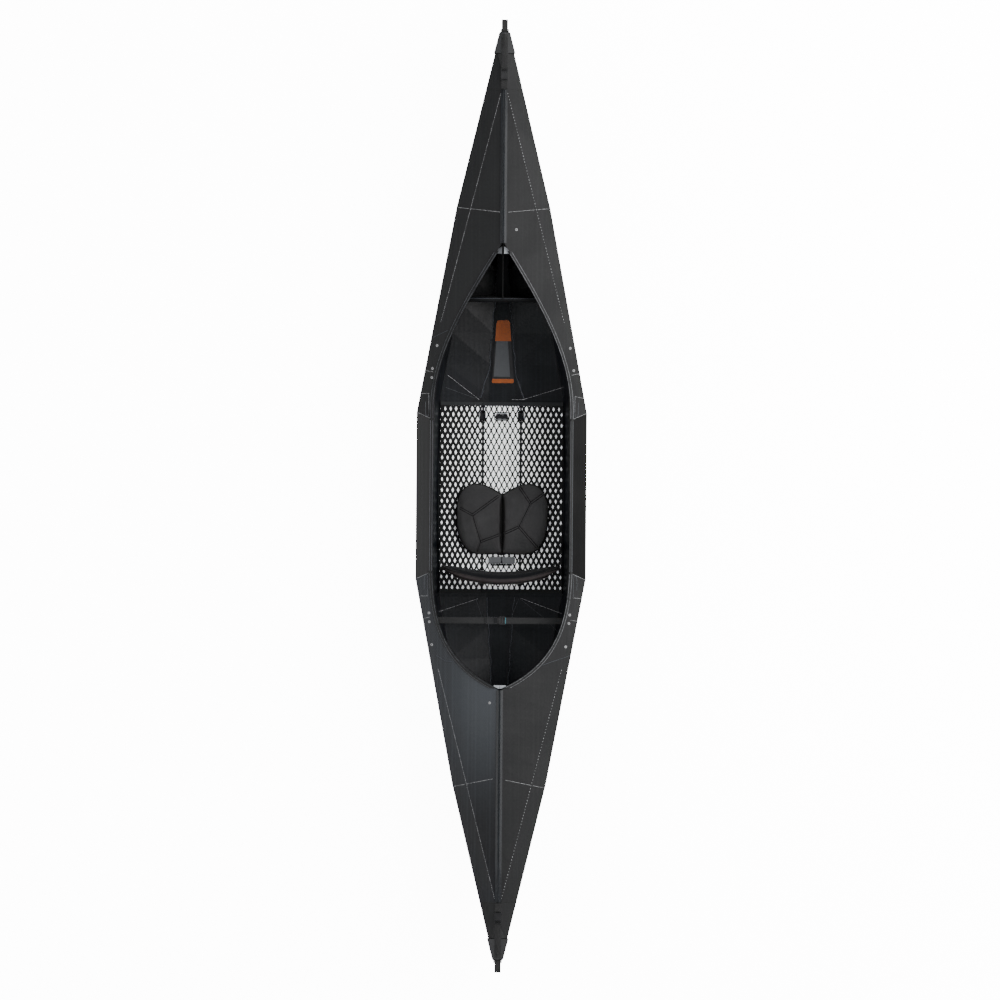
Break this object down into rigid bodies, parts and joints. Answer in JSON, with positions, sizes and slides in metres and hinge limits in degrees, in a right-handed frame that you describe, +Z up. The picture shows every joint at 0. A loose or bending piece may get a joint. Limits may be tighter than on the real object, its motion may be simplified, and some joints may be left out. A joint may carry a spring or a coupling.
{
  "type": "folding kayak",
  "caption": "Single-seat kayak folded from black corrugated sheet, with opening decks, end caps, loose floorboard, folding seat and tilting backrest.",
  "frame": {"origin": "on the ground under the middle of the boat, at the keel strip's lower face", "axes": "+Y to the bow, +X to the right seen from above, +Z up"},
  "size_m": [0.6758, 3.77, 0.3801],
  "materials": {
    "sheet": "black corrugated polypropylene sheet with pale creases",
    "deck": "black corrugated sheet, satin",
    "trim": "black extruded edge trim",
    "rail": "blue-black extruded channel",
    "cap": "dark grey moulding, satin",
    "webbing": "black woven webbing",
    "buckle": "black acetal moulding",
    "board": "black board with a white diamond print",
    "foam": "black moulded foam with a knitted face"
  },
  "bodies": {
    "hull": {"keel_mid": "sheet", "bilge_mid_left": "sheet", "side_mid_left": "sheet", "bilge_mid_right": "sheet", "side_mid_right": "sheet", "keel_bow": "sheet", "bilge_bow_left": "sheet", "side_bow_left": "sheet", "bilge_bow_right": "sheet", "side_bow_right": "sheet", "keel_stern": "sheet", "bilge_stern_left": "sheet", "side_stern_left": "sheet", "bilge_stern_right": "sheet", "side_stern_right": "sheet", "tip_deck_bow": "deck", "buckle_socket_bow": "buckle", "anchor_strap_bow": "webbing", "tip_deck_stern": "deck", "buckle_socket_stern": "buckle", "anchor_strap_stern": "webbing", "bulkhead": "sheet", "foot_bar": "rail", "bulkhead_cord": "webbing", "cross_strap_left": "webbing", "cross_strap_right": "webbing", "cross_buckle_plug": "buckle", "cross_buckle_socket": "buckle"},
    "flap_left": {"flap_left": "deck", "flap_trim_left": "trim"},
    "flap_right": {"flap_right": "deck", "flap_trim_right": "trim"},
    "deck_bow_left": {"deck_bow_left": "deck", "trim_bow_left": "trim", "rail_bow": "rail"},
    "deck_bow_right": {"deck_bow_right": "deck", "trim_bow_right": "trim"},
    "cap_bow": {"cap_bow": "cap", "cap_strap_bow": "webbing", "buckle_plug_bow": "buckle"},
    "handle_bow": {"handle_bow": "webbing"},
    "deck_stern_left": {"deck_stern_left": "deck", "trim_stern_left": "trim", "rail_stern": "rail"},
    "deck_stern_right": {"deck_stern_right": "deck", "trim_stern_right": "trim"},
    "cap_stern": {"cap_stern": "cap", "cap_strap_stern": "webbing", "buckle_plug_stern": "buckle"},
    "handle_stern": {"handle_stern": "webbing"},
    "floor": {"floorboard": "board", "seat_link": "buckle", "backrest_hinge": "buckle", "backrest_stay_left": "webbing", "backrest_stay_right": "webbing"},
    "seat_left": {"seat_left": "foam"},
    "seat_right": {"seat_right": "foam"},
    "backrest": {"backrest_pad": "foam", "backrest_shell": "board"}
  },
  "joints": [
    {"name": "deck_bow_left_open", "type": "hinge", "parent": "hull", "child": "deck_bow_left", "pos_m": [-0.1865, 1.141, 0.30629], "axis": [-0.2027, -0.9782, -0.0461], "range_deg": [0, 110]},
    {"name": "deck_bow_right_open", "type": "hinge", "parent": "hull", "child": "deck_bow_right", "pos_m": [0.1865, 1.141, 0.30629], "axis": [-0.2027, 0.9782, 0.0461], "range_deg": [0, 110]},
    {"name": "deck_stern_left_open", "type": "hinge", "parent": "hull", "child": "deck_stern_left", "pos_m": [-0.1865, -1.141, 0.30629], "axis": [0.2027, -0.9782, 0.0461], "range_deg": [0, 110]},
    {"name": "deck_stern_right_open", "type": "hinge", "parent": "hull", "child": "deck_stern_right", "pos_m": [0.1865, -1.141, 0.30629], "axis": [0.2027, 0.9782, -0.0461], "range_deg": [0, 110]},
    {"name": "flap_left_open", "type": "hinge", "parent": "hull", "child": "flap_left", "pos_m": [-0.3383, 0, 0.268], "axis": [0, -1, 0], "range_deg": [0, 110]},
    {"name": "flap_right_open", "type": "hinge", "parent": "hull", "child": "flap_right", "pos_m": [0.3383, 0, 0.268], "axis": [0, 1, 0], "range_deg": [0, 110]},
    {"name": "cap_bow_pull", "type": "slide", "parent": "hull", "child": "cap_bow", "axis": [0, 1, 0], "range_m": [0, 0.12]},
    {"name": "handle_bow_swing", "type": "hinge", "parent": "cap_bow", "child": "handle_bow", "pos_m": [0, 1.8435, 0.33987], "axis": [1, 0, 0], "range_deg": [-85, 85]},
    {"name": "cap_stern_pull", "type": "slide", "parent": "hull", "child": "cap_stern", "axis": [0, -1, 0], "range_m": [0, 0.12]},
    {"name": "handle_stern_swing", "type": "hinge", "parent": "cap_stern", "child": "handle_stern", "pos_m": [0, -1.8435, 0.33987], "axis": [-1, 0, 0], "range_deg": [-85, 85]},
    {"name": "floor_lift", "type": "slide", "parent": "hull", "child": "floor", "axis": [0, 0, 1], "range_m": [0, 0.35]},
    {"name": "seat_left_fold", "type": "hinge", "parent": "floor", "child": "seat_left", "pos_m": [0.005, 0, 0.0437], "axis": [0, 1, 0], "range_deg": [0, 75]},
    {"name": "seat_right_fold", "type": "hinge", "parent": "floor", "child": "seat_right", "pos_m": [0.005, 0, 0.0437], "axis": [0, -1, 0], "range_deg": [0, 75]},
    {"name": "backrest_tilt", "type": "hinge", "parent": "floor", "child": "backrest", "pos_m": [0, -0.3323, 0.034], "axis": [1, 0, 0], "range_deg": [-40, 0]}
  ],
  "couplings": [
    {"joint": "deck_bow_right_open", "follows": "deck_bow_left_open", "ratio": 1},
    {"joint": "deck_stern_right_open", "follows": "deck_stern_left_open", "ratio": 1}
  ]
}
